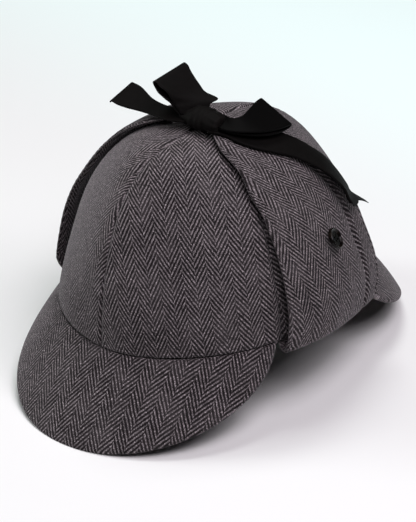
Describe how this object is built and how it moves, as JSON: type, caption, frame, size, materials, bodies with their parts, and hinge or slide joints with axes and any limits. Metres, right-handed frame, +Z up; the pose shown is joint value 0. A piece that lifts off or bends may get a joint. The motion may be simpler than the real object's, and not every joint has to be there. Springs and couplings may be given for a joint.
{
  "type": "deerstalker hat",
  "caption": "Tweed deerstalker hat with a gored crown, front and back peaks, and ear flaps turned up and tied with a ribbon bow on top.",
  "frame": {"origin": "on the surface that the peaks stand on, under the middle of the hat's overall box", "axes": "-Y towards the front peak, +X towards the wearer's left, +Z up"},
  "size_m": [0.1819, 0.272, 0.1763],
  "materials": {
    "tweed": "grey and black herringbone wool tweed",
    "ribbon": "black grosgrain ribbon with a slight sheen",
    "button": "polished dark horn look"
  },
  "bodies": {
    "root": {"gore_front_left": "tweed", "gore_side_left": "tweed", "gore_back_left": "tweed", "gore_back_right": "tweed", "gore_side_right": "tweed", "gore_front_right": "tweed", "front_peak": "tweed", "back_peak": "tweed", "ear_flap_left": "tweed", "ear_flap_right": "tweed", "flap_button_left": "button", "flap_button_right": "button", "bow_knot": "ribbon", "bow_loop_up": "ribbon", "bow_loop_back": "ribbon", "ribbon_tail_short": "ribbon", "ribbon_tail_long": "ribbon"}
  },
  "joints": []
}
